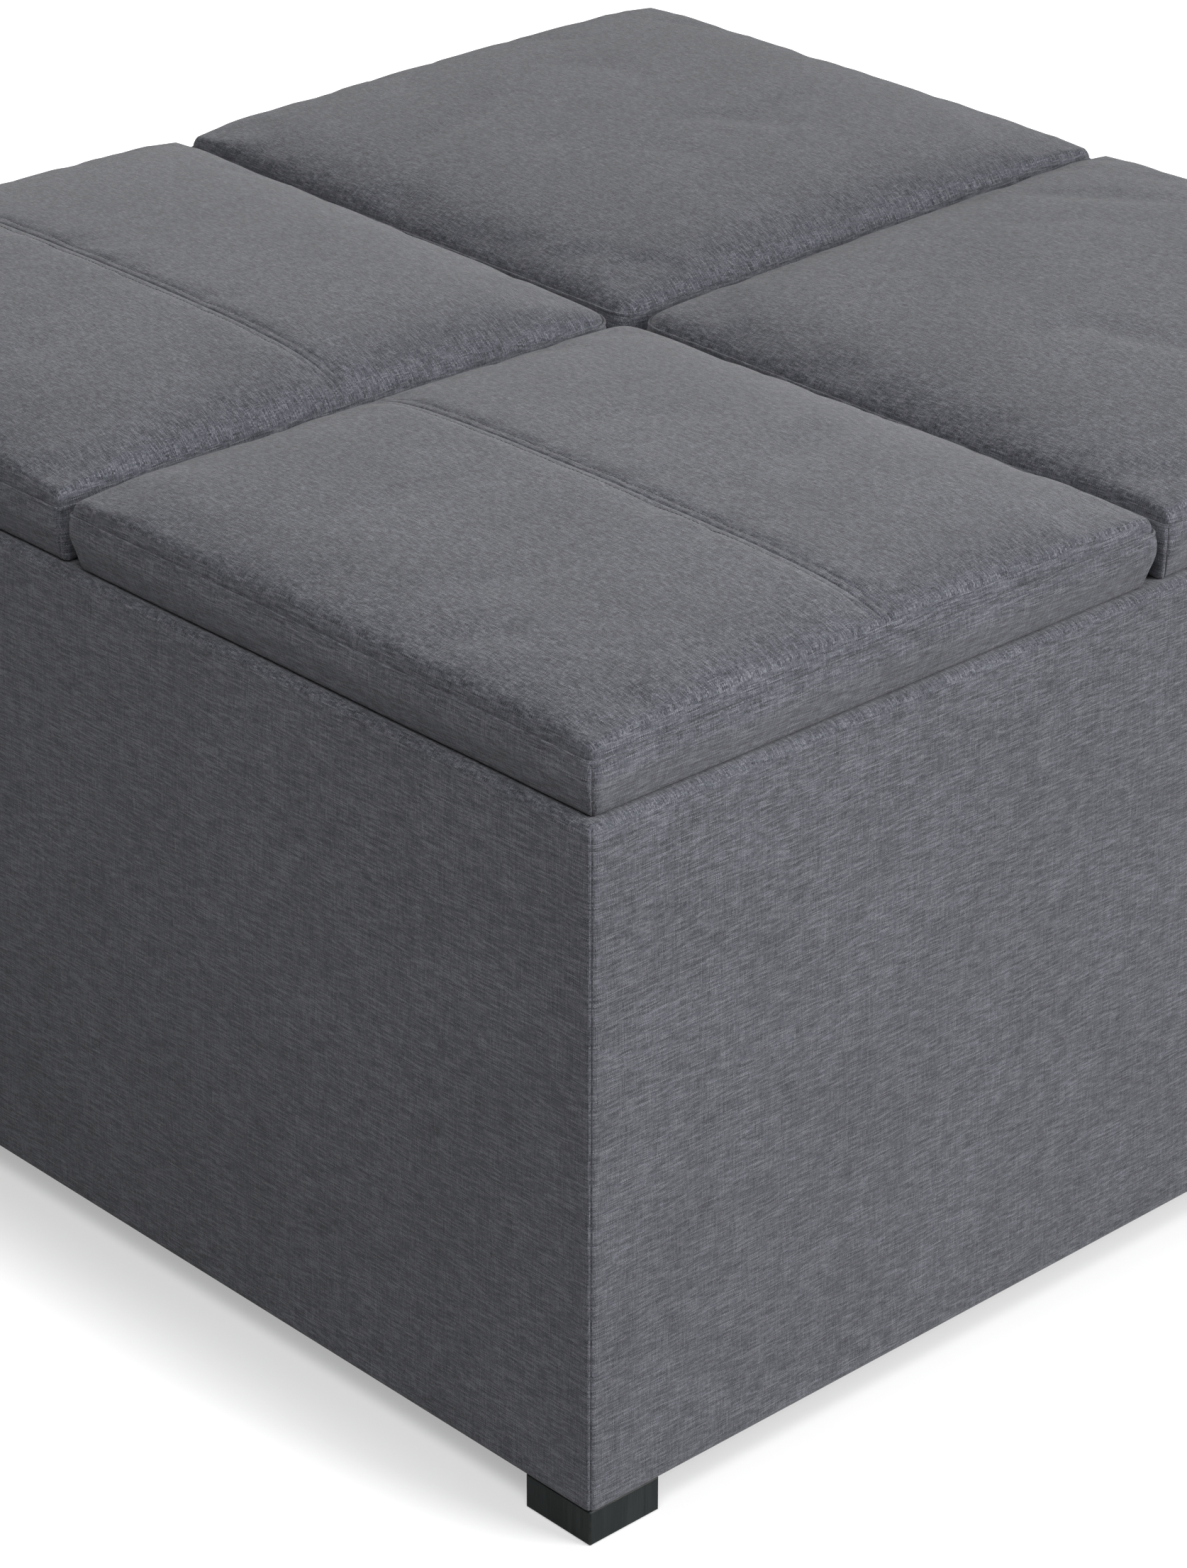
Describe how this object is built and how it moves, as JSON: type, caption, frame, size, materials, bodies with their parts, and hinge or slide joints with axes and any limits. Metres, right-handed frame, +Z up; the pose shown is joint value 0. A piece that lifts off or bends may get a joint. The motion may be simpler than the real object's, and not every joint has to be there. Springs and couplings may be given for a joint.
{
  "type": "storage ottoman",
  "caption": "Square fabric-covered storage ottoman: a padded case on short block feet, parted inside, under lift-off cushioned lids that turn over as wooden trays.",
  "frame": {"origin": "on the floor under the centre of the case", "axes": "+Z up, +X to the right and +Y to the rear as seen from the front, the side that the seamed lids lie along"},
  "size_m": [0.786, 0.786, 0.4535],
  "materials": {
    "upholstery": "slate grey linen-look polyester, plain weave with short slubs",
    "foam": "polyurethane foam, hidden",
    "lining_cloth": "black non-woven lining",
    "dust_cloth": "black non-woven dust cloth",
    "foot_finish": "black satin lacquer",
    "tray_wood": "dark brown stain, satin lacquer",
    "frame_timber": "sawn softwood, hidden",
    "board": "fibreboard, hidden",
    "fastener_steel": "zinc plated"
  },
  "bodies": {
    "base": {"front_panel": "board", "rear_panel": "board", "left_panel": "board", "right_panel": "board", "floor_panel": "board", "floor_cleats": "frame_timber", "corner_blocks": "frame_timber", "long_divider": "board", "cross_divider": "board", "wall_screws": "fastener_steel", "divider_screws": "fastener_steel", "floor_screws": "fastener_steel", "foot_screws": "fastener_steel", "dust_cloth_staples": "fastener_steel", "front_padding": "foam", "rear_padding": "foam", "left_padding": "foam", "right_padding": "foam", "case_cover": "upholstery", "divider_cover": "upholstery", "lining_front_left": "lining_cloth", "lining_front_right": "lining_cloth", "lining_rear_left": "lining_cloth", "lining_rear_right": "lining_cloth", "dust_cloth": "dust_cloth", "foot_front_left": "foot_finish", "foot_front_right": "foot_finish", "foot_rear_left": "foot_finish", "foot_rear_right": "foot_finish"},
    "lid_front_left": {"lid_cover_front_left": "upholstery", "lid_foam_front_left": "foam", "lid_board_front_left": "board", "tray_panel_front_left": "tray_wood", "tray_rim_front_left": "tray_wood", "rim_screws_front_left": "fastener_steel"},
    "lid_front_right": {"lid_cover_front_right": "upholstery", "lid_foam_front_right": "foam", "lid_board_front_right": "board", "tray_panel_front_right": "tray_wood", "tray_rim_front_right": "tray_wood", "rim_screws_front_right": "fastener_steel"},
    "lid_rear_left": {"lid_cover_rear_left": "upholstery", "lid_foam_rear_left": "foam", "lid_board_rear_left": "board", "tray_panel_rear_left": "tray_wood", "tray_rim_rear_left": "tray_wood", "rim_screws_rear_left": "fastener_steel"},
    "lid_rear_right": {"lid_cover_rear_right": "upholstery", "lid_foam_rear_right": "foam", "lid_board_rear_right": "board", "tray_panel_rear_right": "tray_wood", "tray_rim_rear_right": "tray_wood", "rim_screws_rear_right": "fastener_steel"}
  },
  "joints": [
    {"name": "lid_front_left_lift", "type": "slide", "parent": "base", "child": "lid_front_left", "axis": [0, 0, 1], "range_m": [0, 0.15]},
    {"name": "lid_front_right_lift", "type": "slide", "parent": "base", "child": "lid_front_right", "axis": [0, 0, 1], "range_m": [0, 0.15]},
    {"name": "lid_rear_left_lift", "type": "slide", "parent": "base", "child": "lid_rear_left", "axis": [0, 0, 1], "range_m": [0, 0.15]},
    {"name": "lid_rear_right_lift", "type": "slide", "parent": "base", "child": "lid_rear_right", "axis": [0, 0, 1], "range_m": [0, 0.15]}
  ]
}
